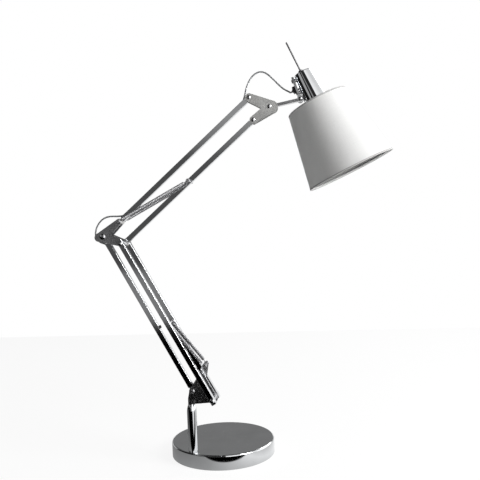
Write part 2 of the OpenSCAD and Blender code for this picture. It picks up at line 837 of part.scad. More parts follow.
module head_pin() {
  y = ear_in + ear_t;
  color("dimgray") bolt_pin(neck_end, -y, y, head = 3.4);
}

// Two screws that hold the strap to the cup, each through a short distance piece
module strap_screws() {
  color("silver") for (z = [high_screw, low_screw]) {
    difference() {
      in_strap() translate([-strap_t / 2, 0, z]) rotate([0, 90, 0]) cylinder(d = 3, h = 11);
      in_head() cup_solid(cup_wall + 1.4);
    }
    in_strap() translate([-strap_t / 2 - 1.4, 0, z]) rotate([0, 90, 0]) cylinder(d = 5.4, h = 1.4);
    difference() {
      in_strap() translate([strap_t / 2, 0, z]) rotate([0, 90, 0]) cylinder(d = 6, h = 8);
      in_head() cup_solid(0);
      in_strap() translate([0, 0, z]) rotate([0, 90, 0]) cylinder(d = 3 - 0.02, h = 20);
    }
  }
}

module cord_clamp() {
  color("dimgray") in_strap() difference() {
    union() {
      translate([-strap_t / 2 - clamp_t, -5, clamp_foot]) cube([clamp_t, 10, clamp_len]);
      translate([-strap_t / 2 - clamp_t - nose_len, 0, clamp_up]) rotate([0, 90, 0])
        cylinder(r = nose_r, h = nose_len);
    }
    translate([-20, 0, clamp_up]) rotate([0, 90, 0]) cylinder(d = lead_d + 0.6, h = 30);
    translate([-strap_t / 2 - 2.4, 0, low_screw]) rotate([0, 90, 0]) cylinder(d = 6, h = 6);
  }
}

// A point of the strap frame as [x, z] in the arm plane
strap_lean_total = strap_lean - shade_tilt;
function in_strap_plane(x, z) = neck_end + polar(x, -strap_lean_total) + polar(z, 90 - strap_lean_total);
module head_lead_end() {
  nose = -strap_t / 2 - clamp_t - nose_len;
  color("lightgray") lead(concat(resample(from(head_top, head_bend_end), 2), [
    in_strap_plane(nose - 1.5, clamp_up), in_strap_plane(nose + 2, clamp_up),
    in_strap_plane(strap_t / 2 + 5.2, clamp_up)]),
    turn_between(head_bend_mid, head_bend_end));
}

// Solid of revolution of the cup, made smaller all round by inset
module cup_solid(inset) {
  top = cup_top - inset;
  low = cup_top - cup_len;
  r_top = cup_top_d / 2 - inset;
  r_low = cup_bottom_d / 2 - inset;
  edge = max(cup_edge_r - inset, 0.4);
  rotate_extrude() {
    polygon([[0, low], [r_low, low], [r_top, top - edge], [r_top - edge, top], [0, top]]);
    intersection() {
      translate([r_top - edge, top - edge]) circle(r = edge);
      translate([r_top - edge, top - edge]) square(edge);
    }
  }
}

module holder_cup() {
  color("silver") difference() {
    in_head() cup_solid(0);
    in_head() difference() {
      translate([0, 0, -0.01]) cup_solid(cup_wall);
    }
    in_head() translate([0, 0, cup_top - cup_len - 1]) cylinder(d = cup_bottom_d - 2 * cup_wall - 0.6, h = 3);
    in_head() translate([rod_shift, 0, cup_top - 3]) cylinder(d = rod_d + 2 * fit, h = 6);
    in_strap() for (z = [high_screw, low_screw])
      translate([0, 0, z]) rotate([0, 90, 0]) cylinder(d = 3 + 2 * fit, h = 14);
    in_strap() translate([0, 0, clamp_up]) rotate([0, 90, 0]) cylinder(d = lead_d + 1.2, h = 12);
  }
}

module handle_rod() {
  foot = holder_top - rod_in_holder;
  tip = cup_top + handle_len + 2 - rod_d / 2;
  color("silver") in_head() translate([rod_shift, 0, 0]) {
    translate([0, 0, foot]) cylinder(d = rod_d, h = tip - foot);
    translate([0, 0, tip]) sphere(d = rod_d, $fn = 32);
    translate([0, 0, cup_top - cup_wall - 2.4]) cylinder(d = 6 / cos(30), h = 2.3, $fn = 6);
  }
}

module handle_collar() {
  color("silver") in_head() translate([rod_shift, 0, 0]) difference() {
    rotate_extrude() polygon([
      [0, cup_top], [collar_d / 2, cup_top], [collar_d / 2, cup_top + collar_h - 1],
      [collar_d / 2 - 1, cup_top + collar_h], [0, cup_top + collar_h]
    ]);
    cylinder(d = rod_d + 2 * fit, h = cup_top + 20);
  }
}

module lamp_holder() {
  low = carrier_z - 14;
  color("white") in_head() difference() {
    union() {
      translate([0, 0, carrier_z + 2]) cylinder(d = holder_d - 6, h = holder_top - carrier_z - 2);
      translate([0, 0, low]) cylinder(d = holder_d, h = 27);
      translate([0, 0, carrier_z + 1.6]) cylinder(d = thread_d, h = 6);
    }
    translate([0, 0, low - 1]) cylinder(d = bulb_cap_d + 0.8, h = 25.5);
    translate([0, 0, low + 24]) cylinder(d = 14, h = 30);
    translate([rod_shift, 0, holder_top - rod_in_holder - 1])
      cylinder(d = rod_d + 2 * fit, h = rod_in_holder + 2);
  }
}

module holder_ring() {
  color("white") in_head() difference() {
    union() {
      translate([0, 0, carrier_z - ring_h - 0.1]) cylinder(d = ring_d - 4, h = ring_h);
      translate([0, 0, carrier_z - 2.4 - 0.1]) cylinder(d = ring_d, h = 2.4);
      for (a = [0:30:330]) rotate([0, 0, a]) translate([ring_d / 2 - 2.2, 0, carrier_z - ring_h - 0.1])
        cylinder(d = 2.4, h = ring_h - 2, $fn = 16);
    }
    translate([0, 0, carrier_z - 30]) cylinder(d = holder_d + 2 * fit, h = 60);
  }
}

function shade_r(z) = shade_top_d / 2 - z / shade_h * (shade_bottom_d - shade_top_d) / 2;

hoop_top_z = -frame_wire / 2 - 0.6;
hoop_low_z = frame_wire / 2 + 0.6 - shade_h;
function hoop_r(z) = shade_r(z) - shade_t - frame_wire / 2 - 0.05;

// Wire rings inside the shade's top and bottom edges, each with a little flat where an arm is welded on
module shade_hoops() {
  color("white") in_head() for (z = [hoop_top_z, hoop_low_z])
    rotate_extrude($fn = 96) translate([hoop_r(z), z]) circle(d = frame_wire, $fn = 16);
}

// Carrier: a flat ring on the lamp holder and three arms, each welded to the top hoop
module shade_carrier() {
  hub_r_out = ring_d / 2 - 1.4;
  run = hoop_r(hoop_top_z) - hub_r_out + 2;
  rise = hoop_top_z - carrier_z - 1.15;
  color("white") in_head() difference() {
    union() {
      translate([0, 0, carrier_z]) cylinder(r = hub_r_out, h = 1.5);
      for (a = [60, 180, 300]) rotate([0, 0, a]) translate([hub_r_out - 2, 0, carrier_z + 1.15])
        rotate([0, 90 - atan2(rise, run), 0]) cylinder(d = 2.4, h = norm([run, rise]), $fn = 24);
    }
    translate([0, 0, carrier_z - 1]) cylinder(d = holder_d + 2 * fit, h = 4);
    rotate_extrude($fn = 96) translate([hoop_r(hoop_top_z), hoop_top_z])
      circle(d = frame_wire + 0.04, $fn = 16);
    rotate_extrude($fn = 96) translate([hoop_r(hoop_top_z), hoop_top_z - 5]) square([10, 10]);
  }
}

module shade_cover() {
  color("white") in_head() rotate_extrude($fn = 128) polygon([
    [shade_r(0), 0], [shade_r(-shade_h), -shade_h],
    [shade_r(-shade_h) - shade_t, -shade_h], [shade_r(0) - shade_t, 0]
  ]);
}

module bulb_cap() {
  color("silver") in_head() {
    top = carrier_z + 8;
    rotate_extrude() polygon(concat(
      [[0, top - 25], [bulb_cap_d / 2 - 0.6, top - 25]],
      [for (i = [0:12]) [bulb_cap_d / 2 - (i % 2 == 0 ? 0.9 : 0), top - 24 + i * 1.6]],
      [[8, top - 1], [6, top], [0, top]]));
  }
}

module bulb_profile(inset) {
  neck_z = carrier_z - 17.2;
  centre = carrier_z - bulb_drop + 12;
  r = bulb_d / 2 - inset;
  intersection() {
    translate([0, centre]) circle(r = r, $fn = 64);
    translate([0, centre - bulb_d]) square([bulb_d, 2 * bulb_d]);
  }
  polygon([[0, neck_z + inset], [bulb_cap_d / 2 - 1.5 - inset, neck_z + inset],
           [(r - 0.3) * cos(38), centre + (r - 0.3) * sin(38)], [0, centre]]);
}

module bulb_glass() {
  color("white") in_head() rotate_extrude() difference() {
    bulb_profile(0);
    bulb_profile(1);
  }
}

base_cover();
base_weight();
base_felt();
cord_grommet();
post();
post_bush();
post_nipple();
set_screw();
base_lead();
stem();
shoulder_plates();
stem_rivets();
shoulder_rear_pin();
shoulder_front_pin();
shoulder_spacers();
shoulder_washers();
ear_pin();
shoulder_lead();
lower_rear_tube();
lower_rear_lugs();
rubber_stop();
elbow_lead_low();
lower_front_tubes();
lower_front_plugs();
lower_spring_pin();
lower_springs();
elbow_plates();
elbow_rear_pin();
elbow_top_pin();
elbow_front_pin();
elbow_spacers();
elbow_washers();
elbow_lead_high();
upper_top_tube();
upper_top_lugs();
head_lead_start();
upper_bottom_tube();
upper_bottom_lugs();
upper_spring_pin();
upper_springs();
head_plates();
bracket_pins();
bracket_washers();
head_lead_mid();
neck_link();
head_strap();
head_pin();
strap_screws();
cord_clamp();
head_lead_end();
holder_cup();
handle_rod();
handle_collar();
lamp_holder();
holder_ring();
shade_hoops();
shade_carrier();
shade_cover();
bulb_cap();
bulb_glass();
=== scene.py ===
"""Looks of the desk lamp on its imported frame: studio, finishes, springs, lead, shade and bulb."""

import json
import math

import bpy
import numpy as np
from mathutils import Matrix, Vector


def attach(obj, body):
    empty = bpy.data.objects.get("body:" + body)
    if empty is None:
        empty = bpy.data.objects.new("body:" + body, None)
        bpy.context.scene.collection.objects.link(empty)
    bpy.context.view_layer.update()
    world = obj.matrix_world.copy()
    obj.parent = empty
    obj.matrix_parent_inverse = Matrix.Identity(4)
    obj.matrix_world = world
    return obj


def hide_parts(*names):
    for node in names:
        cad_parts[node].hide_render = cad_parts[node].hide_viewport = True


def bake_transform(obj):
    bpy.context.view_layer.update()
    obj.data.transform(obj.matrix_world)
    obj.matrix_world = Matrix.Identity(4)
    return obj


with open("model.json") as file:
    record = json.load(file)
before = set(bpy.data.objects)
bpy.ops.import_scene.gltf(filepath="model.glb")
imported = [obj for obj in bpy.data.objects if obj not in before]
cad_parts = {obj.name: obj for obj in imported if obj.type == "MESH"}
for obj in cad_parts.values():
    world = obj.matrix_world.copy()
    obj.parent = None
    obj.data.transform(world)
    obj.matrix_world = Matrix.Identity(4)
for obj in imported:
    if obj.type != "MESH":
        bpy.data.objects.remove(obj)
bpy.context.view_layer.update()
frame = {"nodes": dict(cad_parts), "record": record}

bl_info = {
    "name": "Swing arm desk lamp",
    "version": (1, 0, 0),
    "blender": (4, 5, 0),
    "location": "3D View > Sidebar > Lamp",
    "description": "Dresses the packed desk lamp with its springs, lead, shade, bulb and finishes",
    "category": "Object",
}

MM = 0.001
ACROSS = np.array([0.0, 1.0, 0.0])  # the direction across the arm plane


# ------------------------------------------------------- pivots of the arm, in millimetres


def polar(length, degrees):
    """[x, z] of a length at an angle above +X."""
    turn = math.radians(degrees)
    return length * np.array([math.cos(turn), math.sin(turn)])


POST_LEFT, POST_FRONT, POST_TOP = 42.0, 66.0, 103.0
ARM_Y = -POST_FRONT
SHADE_TILT = math.radians(24.3)

SHOULDER_REAR = np.array([4 - POST_LEFT, POST_TOP + 23.4])
SHOULDER_FRONT = SHOULDER_REAR + polar(37, -20)
EAR = SHOULDER_REAR + np.array([22.4, 42.6])
ELBOW_REAR = SHOULDER_REAR + polar(297.5, 118.6)
ELBOW_FRONT = ELBOW_REAR + SHOULDER_FRONT - SHOULDER_REAR
ELBOW_TOP = ELBOW_REAR + polar(37.8, 39.8)
HEAD_TOP = ELBOW_TOP + polar(296.8, 40.8)
HEAD_BOTTOM = HEAD_TOP + ELBOW_FRONT - ELBOW_TOP
NECK_START = HEAD_TOP + polar(36.7, -26.6)
NECK_END = NECK_START + polar(51.4, 10.1)

# the pins that hold the springs' ends on the bars, as shares of the way between two pivots
LOWER_HOOK = ELBOW_FRONT + (SHOULDER_FRONT - ELBOW_FRONT) * 0.514
UPPER_HOOK = ELBOW_FRONT + (HEAD_BOTTOM - ELBOW_FRONT) * 0.51

# the middle of the shade's top rim, ahead of the head's pivot and below it along the shade's axis
CUP_AHEAD, CUP_DROP = 21.8, 16
HEAD_ORIGIN = NECK_END + np.array([
    CUP_AHEAD * math.cos(SHADE_TILT) + CUP_DROP * math.sin(SHADE_TILT),
    CUP_AHEAD * math.sin(SHADE_TILT) - CUP_DROP * math.cos(SHADE_TILT),
])


def at(point, y=0.0):
    """An [x, z] point of the arm plane, y millimetres behind it, as a point in metres."""
    return np.array([point[0], ARM_Y + y, point[1]]) * MM


def along(p, q, far, off):
    """An [x, z] point on the way from p to q: far along it, and off to its left."""
    line = (q - p) / np.linalg.norm(q - p)
    return p + far * line + off * np.array([-line[1], line[0]])


# ------------------------------------------------------- sizes of the new pieces, in millimetres

LOWER_SPRING_Y, UPPER_SPRING_Y = 12.0, 15.0  # each spring of a pair, from the arm plane
SPRING_PIN_R, SPRING_PIN_PLAY = 2, 0.3
SPRING_NECK = 3.0  # from a hook's middle line to the coil
SPRING_WIND = 1.005  # pitch of the coil over the wire's thickness, so that turns nearly touch
FOLD_OUTER, FOLD_INNER = 4.28, 3.34  # half widths of a bar end's fold, outside and inside
FOLD_GAP = 0.02  # between a fold and the bar's own end
LEAD_OFF = 1.5  # how far the lead lies from a bar's middle line
STRAND_R, STRAND_OFF, STRAND_LAY = 0.36, 0.46, 22  # the first two over the lead's radius
# the liner is a darker sheet of painted shade just inside the cloth
CLOTH_T, LINER_NEAR, LINER_FAR = 0.55, 0.60, 1.10  # depths below the shade's outer face
SHADE_STEPS = 160  # sides round the shade
BULB_SEAT, BULB_CENTRE = 27, 60  # below the shade's top rim, along its axis
COIL_HALF, COIL_R, COIL_WIRE_R, LEG_R = 7, 0.7, 0.16, 0.3

# bar end: pivot, the bar's other pivot, where it starts and ends, its open side, its body
BAR_ENDS = (
    ("bar_end_shoulder", SHOULDER_REAR, ELBOW_REAR, 7.5, 14.0, -1, "lower_rear_bar"),
    ("bar_end_elbow", ELBOW_REAR, SHOULDER_REAR, 13.0, 25.0, 1, "lower_rear_bar"),
    ("bar_end_top_low", ELBOW_TOP, HEAD_TOP, 6.5, 17.0, 1, "upper_top_bar"),
    ("bar_end_top_high", HEAD_TOP, ELBOW_TOP, 6.5, 17.0, -1, "upper_top_bar"),
    ("bar_end_bottom_low", ELBOW_FRONT, HEAD_BOTTOM, 5.5, 8.0, 1, "upper_bottom_bar"),
    ("bar_end_bottom_high", HEAD_BOTTOM, ELBOW_FRONT, 5.5, 8.0, -1, "upper_bottom_bar"),
)

# closed outline of a rim's fold: (out from the rim, along the axis away from the cloth)
RIM_FOLD = (
    (0.25, -0.3), (0.32, -0.9), (0.30, -2.2), (0.1, -2.5), (-0.2, -2.2), (-0.2, -0.8),
    (-1.0, -0.8), (-1.3, -2.2), (-1.5, -2.2), (-1.5, -0.6), (-1.1, 0.1), (-0.4, 0.25))
# outline of the bulb's glass stem: (radius, height)
BULB_STEM = ((0.1, 0), (4.6, 0), (3.4, -4), (2.0, -9), (1.6, -15), (2.3, -18), (0.1, -19.5))


# ------------------------------------------------------- the studio

CAMERA_PLACE = (0.1517, -1.0742, 0.3843)
CAMERA_TURN = (5.79, 0.60, -2.14)  # azimuth, pitch down and roll, in degrees

# lamp: place, target, side of the square, power
LAMPS = (
    ("key", (1.7, -0.9, 1.3), (0.1, -0.07, 0.4), 0.9, 42.0),
    ("fill", (-1.6, -1.4, 1.0), (0.0, -0.07, 0.3), 1.0, 1.4),
    ("back", (0.9, 1.5, 1.3), (0.1, -0.07, 0.4), 0.8, 9.0),
)

# wall: lowest and highest value of the ramp, then (value, grey) by the upward part of a direction
FRONT_WALL = (-0.30, 0.70, (
    (-0.150, 0.004), (-0.130, 0.27), (-0.062, 0.27), (-0.045, 0.09), (0.125, 0.10),
    (0.150, 0.22), (0.185, 0.38), (0.226, 0.38), (0.245, 0.03), (0.60, 0.02)))
LEFT_WALL = (-0.30, 0.90, ((-0.30, 0.005), (0.30, 0.012), (0.88, 0.02)))
BACK_WALL = (-0.10, 0.90, (
    (0.0, 1.0), (0.17, 1.0), (0.235, 0.21), (0.42, 0.24), (0.60, 0.08), (0.88, 0.04)))
RIGHT_WALL = (-0.30, 0.90, ((-0.30, 1.0), (0.0, 1.0), (0.30, 0.7), (0.60, 0.5), (0.88, 0.15)))
RIGHT_WALL_GAIN = 2.2
SOFT_LIGHT = 0.20  # share of the walls' light that falls on matt surfaces

TABLE_HALF = 1.3
TABLE_EDGE = -0.130  # where reflections see the table end, in front of the base
TABLE_SHOWN = 0.15  # share of the lit table in what the camera sees; the rest is white
TABLE_WHITE = 1.06
# painted light and shade: the table's glow in reflections, by x, grey on the left as if shaded and
# bright on the right as if lit by the key lamp
TABLE_PAINTED_LIGHT = (-0.5, 0.5, (
    (-0.30, 0.10), (-0.14, 0.24), (-0.02, 0.42), (0.05, 0.72), (0.10, 1.05), (0.16, 0.60),
    (0.30, 0.85)))


# ------------------------------------------------------- sizes and colours a user may change


class LampSizes(bpy.types.PropertyGroup):
    """Sizes of the pieces that are made here."""

    spring_diameter: bpy.props.FloatProperty(
        name="Spring diameter", description="Outside diameter of each balance spring",
        default=6.5 * MM, unit="LENGTH")
    spring_wire: bpy.props.FloatProperty(
        name="Spring wire", description="Thickness of the springs' wire",
        default=1.5 * MM, unit="LENGTH")
    lead_diameter: bpy.props.FloatProperty(
        name="Lead diameter", description="Thickness of the clear lead",
        default=2.8 * MM, unit="LENGTH")
    shade_top: bpy.props.FloatProperty(
        name="Shade top", description="Diameter of the shade's top rim",
        default=102 * MM, unit="LENGTH")
    shade_bottom: bpy.props.FloatProperty(
        name="Shade bottom", description="Diameter of the shade's bottom rim",
        default=146 * MM, unit="LENGTH")
    shade_height: bpy.props.FloatProperty(
        name="Shade height", description="Height of the shade along its axis",
        default=124 * MM, unit="LENGTH")
    camera_lens: bpy.props.FloatProperty(
        name="Lens", description="Focal length on a 36 mm sensor, in millimetres", default=46.1)


class LampColours(bpy.types.PropertyGroup):
    """Colours of the finishes, as linear values."""

    chrome: bpy.props.FloatVectorProperty(
        name="Chrome", description="Colour of the chrome plate",
        default=(0.66, 0.67, 0.68), subtype="COLOR")
    steel: bpy.props.FloatVectorProperty(
        name="Steel", description="Colour of the turned steel",
        default=(0.45, 0.45, 0.46), subtype="COLOR")
    plate: bpy.props.FloatVectorProperty(
        name="Joint plates", description="Colour of the shoulder and elbow plates",
        default=(0.60, 0.60, 0.61), subtype="COLOR")
    bracket: bpy.props.FloatVectorProperty(
        name="Head bracket", description="Colour of the head bracket's plates",
        default=(0.50, 0.50, 0.49), subtype="COLOR")
    cloth: bpy.props.FloatVectorProperty(
        name="Shade cloth", description="Colour of the shade's cloth",
        default=(0.84, 0.84, 0.83), subtype="COLOR")


# ------------------------------------------------------- shader nodes


class Wire:
    """An output socket on which + - * / and ** add Math nodes."""

    def __init__(self, nodes, socket):
        self.nodes, self.socket = nodes, socket

    def _math(self, operation, other):
        return self.nodes.node("ShaderNodeMath", {"operation": operation}, {0: self, 1: other})

    def __add__(self, other):
        return self._math("ADD", other)

    def __sub__(self, other):
        return self._math("SUBTRACT", other)

    def __mul__(self, other):
        return self._math("MULTIPLY", other)

    def __truediv__(self, other):
        return self._math("DIVIDE", other)

    def __pow__(self, other):
        return self._math("POWER", other)


class Nodes:
    """A node tree, with one method that adds any node."""

    def __init__(self, tree):
        self.tree = tree

    def fill(self, socket, value):
        """Gives a socket a link or a value."""
        if isinstance(value, Wire):
            self.tree.links.new(value.socket, socket)
        else:
            socket.default_value = value

    def node(self, kind, settings=None, inputs=None, output=0):
        """Adds a node, first its settings and then its inputs, and returns an output as a Wire."""
        made = self.tree.nodes.new(kind)
        for key, value in (settings or {}).items():
            setattr(made, key, value)
        for key, value in (inputs or {}).items():
            self.fill(made.inputs[key], value)
        return Wire(self, made.outputs[output])

    def split(self, vector):
        """The three parts of a vector."""
        made = self.tree.nodes.new("ShaderNodeSeparateXYZ")
        self.fill(made.inputs[0], vector)
        return [Wire(self, output) for output in made.outputs]

    def ray(self, kind):
        """1 for a ray of this kind, such as Is Camera Ray, else 0."""
        return self.node("ShaderNodeLightPath", output=kind)

    def remap(self, value, low, high, out_low=0.0, out_high=1.0, smooth=False):
        """A value moved from one range to another, held at its ends."""
        settings = {"interpolation_type": "SMOOTHSTEP" if smooth else "LINEAR"}
        return self.node("ShaderNodeMapRange", settings, {
            "Value": value, "From Min": low, "From Max": high,
            "To Min": out_low, "To Max": out_high})

    def ramp(self, value, low, high, stops):
        """Grey levels at stops of a value between low and high."""
        made = self.tree.nodes.new("ShaderNodeValToRGB")
        elements = made.color_ramp.elements
        while len(elements) < len(stops):
            elements.new(0.5)
        for element, (place, grey) in zip(elements, stops):
            element.position = (place - low) / (high - low)
            element.color = (grey, grey, grey, 1.0)
        self.fill(made.inputs[0], self.remap(value, low, high))
        return Wire(self, made.outputs[0])

    def blend(self, factor, first, second):
        """A value between two values."""
        return self.node("ShaderNodeMix", {"data_type": "FLOAT"}, {0: factor, 2: first, 3: second})

    def mix(self, factor, first, second):
        """A colour between two colours."""
        return self.node("ShaderNodeMix", {"data_type": "RGBA"}, {
            0: factor, 6: (*first[:3], 1.0), 7: (*second[:3], 1.0)}, 2)

    def glow(self, grey, strength=1.0):
        """Emission of a grey value, from a link or a number."""
        colour = grey if isinstance(grey, Wire) else (grey, grey, grey, 1.0)
        return self.node("ShaderNodeEmission", {}, {"Color": colour, "Strength": strength})

    def choose(self, factor, first, second):
        """A shader between two shaders."""
        return self.node("ShaderNodeMixShader", {}, {0: factor, 1: first, 2: second})

    def place(self, scale=(1, 1, 1), uv=False):
        """Object coordinates, or the piece's own UV map, scaled."""
        source = self.node("ShaderNodeTexCoord", output="UV" if uv else "Object")
        return self.node("ShaderNodeMapping", {"vector_type": "POINT"},
                         {"Vector": source, "Scale": scale})

    def noise(self, vector, scale, detail=3.0, roughness=0.55):
        """Grey noise from 0 to 1."""
        return self.node("ShaderNodeTexNoise", {}, {
            "Vector": vector, "Scale": scale, "Detail": detail, "Roughness": roughness})


class Shader(Nodes):
    """A material with one Principled BSDF."""

    def __init__(self, name, colour, roughness, metallic=0.0, **constants):
        self.material = bpy.data.materials.new(name)
        self.material.use_nodes = True
        super().__init__(self.material.node_tree)
        self.surface = self.tree.nodes["Principled BSDF"]
        self.set("Base Color", (*colour[:3], 1.0))
        self.set("Roughness", roughness)
        self.set("Metallic", metallic)
        for socket, value in constants.items():
            self.set(socket.replace("_", " "), value)

    def set(self, socket, value):
        """Gives one of the Principled BSDF's sockets a link or a value."""
        self.fill(self.surface.inputs[socket], value)

    def bump(self, height, strength, distance):
        """Feeds a height to the surface's normal."""
        self.set("Normal", self.node("ShaderNodeBump", {}, {
            "Height": height, "Strength": strength, "Distance": distance}))


# ------------------------------------------------------- finishes

FINISH = {}
EVEN = (1, 1, 1)  # grain without a direction


def shade_of(colour, amount):
    """A colour made lighter or darker by a factor."""
    return tuple(min(1.0, c * amount) for c in colour[:3])


def metal(name, colour, roughness, spread, tint, grain, stretch, grain_size):
    """Metal with handled, slightly uneven gloss and colour, and grain where grain is above 0."""
    s = Shader(name, colour, roughness, 1.0)
    cloud = s.noise(s.place(), 28.0, 4.0)
    smear = s.noise(s.place((1, 1, 0.2)), 160.0)
    s.set("Base Color", s.mix(
        s.remap(cloud, 0.3, 0.7), shade_of(colour, 1 - tint), shade_of(colour, 1 + tint)))
    uneven = s.remap(cloud * 0.6 + smear * 0.4, 0.3, 0.7, roughness, roughness + spread)
    if grain > 0:
        lines = s.noise(s.place(stretch), grain_size, 2.0)
        uneven = uneven + s.remap(lines, 0.3, 0.7, 0.0, spread * 1.6)
        s.bump(lines, grain, 0.00012)
    s.set("Roughness", uneven)
    return s.material


def moulded(name, colour, roughness, lift):
    """Plastic, rubber or enamel with a fine grain; lift is how far its colour varies."""
    s = Shader(name, colour, roughness)
    grain = s.noise(s.place(), 650.0)
    s.set("Base Color", s.mix(
        s.remap(grain, 0.3, 0.7), shade_of(colour, 1 - lift), shade_of(colour, 1 + lift)))
    s.set("Roughness", s.remap(grain, 0.3, 0.7, roughness - 0.05, roughness + 0.1))
    s.bump(grain, 0.25, 0.0001)
    return s.material


def clear(name, colour, roughness, grain_size, low, high, **constants):
    """Glass or clear plastic whose gloss varies between two roughnesses, low and high."""
    s = Shader(name, colour, roughness, **constants)
    s.set("Roughness", s.remap(s.noise(s.place(), grain_size), *low, *high))
    return s.material


def cast_iron():
    """Rough dark casting."""
    s = Shader("rough_casting", (0.05, 0.05, 0.055), 0.75, 0.6)
    lumps = s.noise(s.place(), 220.0, 5.0, 0.65)
    s.set("Base Color", s.mix(
        s.remap(lumps, 0.35, 0.65), (0.03, 0.03, 0.033), (0.10, 0.09, 0.085)))
    s.bump(lumps, 0.8, 0.0006)
    return s.material


def felt():
    """Pressed black felt."""
    s = Shader("pressed_felt", (0.02, 0.02, 0.022), 0.95, Sheen_Weight=0.5)
    fibre = s.noise(s.place((1, 3, 1)), 900.0, 4.0, 0.7)
    s.set("Base Color", s.mix(
        s.remap(fibre, 0.3, 0.7), (0.012, 0.012, 0.013), (0.045, 0.045, 0.05)))
    s.bump(fibre, 0.7, 0.0004)
    return s.material


def strands():
    """Tinned wire of twisted strands, in bands across its UV map."""
    s = Shader("tinned_strands", (0.34, 0.34, 0.35), 0.35, 0.9)
    turns = s.node(
        "ShaderNodeTexWave", {"wave_type": "BANDS", "bands_direction": "DIAGONAL"},
        {"Vector": s.place(uv=True), "Scale": 60.0, "Distortion": 0.6, "Detail": 1.0})
    s.set("Base Color", s.mix(turns, (0.20, 0.20, 0.21), (0.36, 0.36, 0.37)))
    s.bump(turns, 0.5, 0.0001)
    return s.material


def cloth(name, colour, coarse):
    """Plain woven cloth: threads along and round the shade from its UV map in metres, with slubs.

    The weave is the product of two sines, one in each direction, at 1400 threads a metre over
    coarse."""
    s = Shader(name, colour, 0.86, Sheen_Weight=0.25, Sheen_Roughness=0.4)
    threads = 1400.0 / coarse
    u, v, _ = s.split(s.place(uv=True))

    def ridges(value):
        turn = value * (2 * math.pi * threads)
        return s.node("ShaderNodeMath", {"operation": "SINE"}, {0: turn})

    weave = ridges(u) * ridges(v) * 0.5 + 0.5
    slub = (s.noise(s.place((60, 900, 1), uv=True), 1.0) * 0.5
            + s.noise(s.place((900, 60, 1), uv=True), 1.0) * 0.5)
    tone = s.remap(slub + weave * 0.12, 0.35, 0.75)
    s.set("Base Color", s.mix(tone, shade_of(colour, 0.955), shade_of(colour, 1.03)))
    s.set("Roughness", s.remap(slub, 0.3, 0.7, 0.8, 0.92))
    s.bump(weave * 0.7 + slub, 0.35, 0.00012)
    return s.material


def make_finishes(colours):
    """Every material, by the name of the record's slot that it dresses."""
    grey = (0.50, 0.50, 0.51)
    # slot, name, colour, roughness and its spread, tint, grain, its stretch and its size
    for slot_name, *look in (
        ("chrome", "chrome_plate", colours.chrome, 0.035, 0.05, 0.05, 0.0, EVEN, 900.0),
        ("steel", "turned_steel", colours.steel, 0.22, 0.12, 0.12, 0.25, (1, 6, 1), 700.0),
        ("dark_plate", "nickel_plate", colours.plate, 0.10, 0.10, 0.18, 0.15, (1, 1, 8), 500.0),
        ("head_bracket", "satin_bracket", colours.bracket, 0.34, 0.14, 0.10, 0.6, EVEN, 1500.0),
        ("bolts", "bright_bolts", grey, 0.08, 0.08, 0.2, 0.1, EVEN, 900.0),
        ("dark_rod", "dark_rod", (0.16, 0.16, 0.165), 0.30, 0.14, 0.25, 0.2, (1, 1, 8), 900.0),
        ("spring_steel", "spring_wire", grey, 0.42, 0.10, 0.08, 0.0, EVEN, 900.0),
        ("cap", "rolled_cap", (0.70, 0.70, 0.69), 0.28, 0.12, 0.12, 0.15, (1, 1, 4), 600.0),
    ):
        FINISH[slot_name] = metal(*look)
    for slot_name, colour, roughness, lift in (
        ("nylon", (0.72, 0.70, 0.64), 0.42, 0.10),
        ("rubber", (0.018, 0.018, 0.02), 0.55, 0.35),
        ("holder", (0.80, 0.79, 0.76), 0.25, 0.06),
        ("wire", (0.80, 0.80, 0.79), 0.38, 0.08),
    ):
        FINISH[slot_name] = moulded("moulded_" + slot_name, colour, roughness, lift)
    FINISH["iron"] = cast_iron()
    FINISH["felt"] = felt()
    FINISH["glass"] = clear("bulb_glass", (0.97, 0.97, 0.96), 0.03, 90.0, (0.4, 0.7), (0.01, 0.05),
                            Transmission_Weight=1.0, IOR=1.45)
    FINISH["lead"] = clear("clear_sleeve", (0.42, 0.43, 0.44), 0.12, 260.0, (0.35, 0.7),
                           (0.08, 0.22), Transmission_Weight=0.55, IOR=1.40)
    FINISH["strands"] = strands()
    FINISH["shade"] = cloth("woven_cloth", colours.cloth, 1.0)
    # painted shade: the turned edges and the liner are the cloth made darker, standing for the
    # shadow on the rims and inside the shade
    FINISH["shade_trim"] = cloth("cloth_painted_shade", shade_of(colours.cloth, 0.62), 1.6)
    FINISH["liner"] = cloth("cloth_painted_shade", shade_of(colours.cloth, 0.58), 0.8)


# ------------------------------------------------------- surfaces


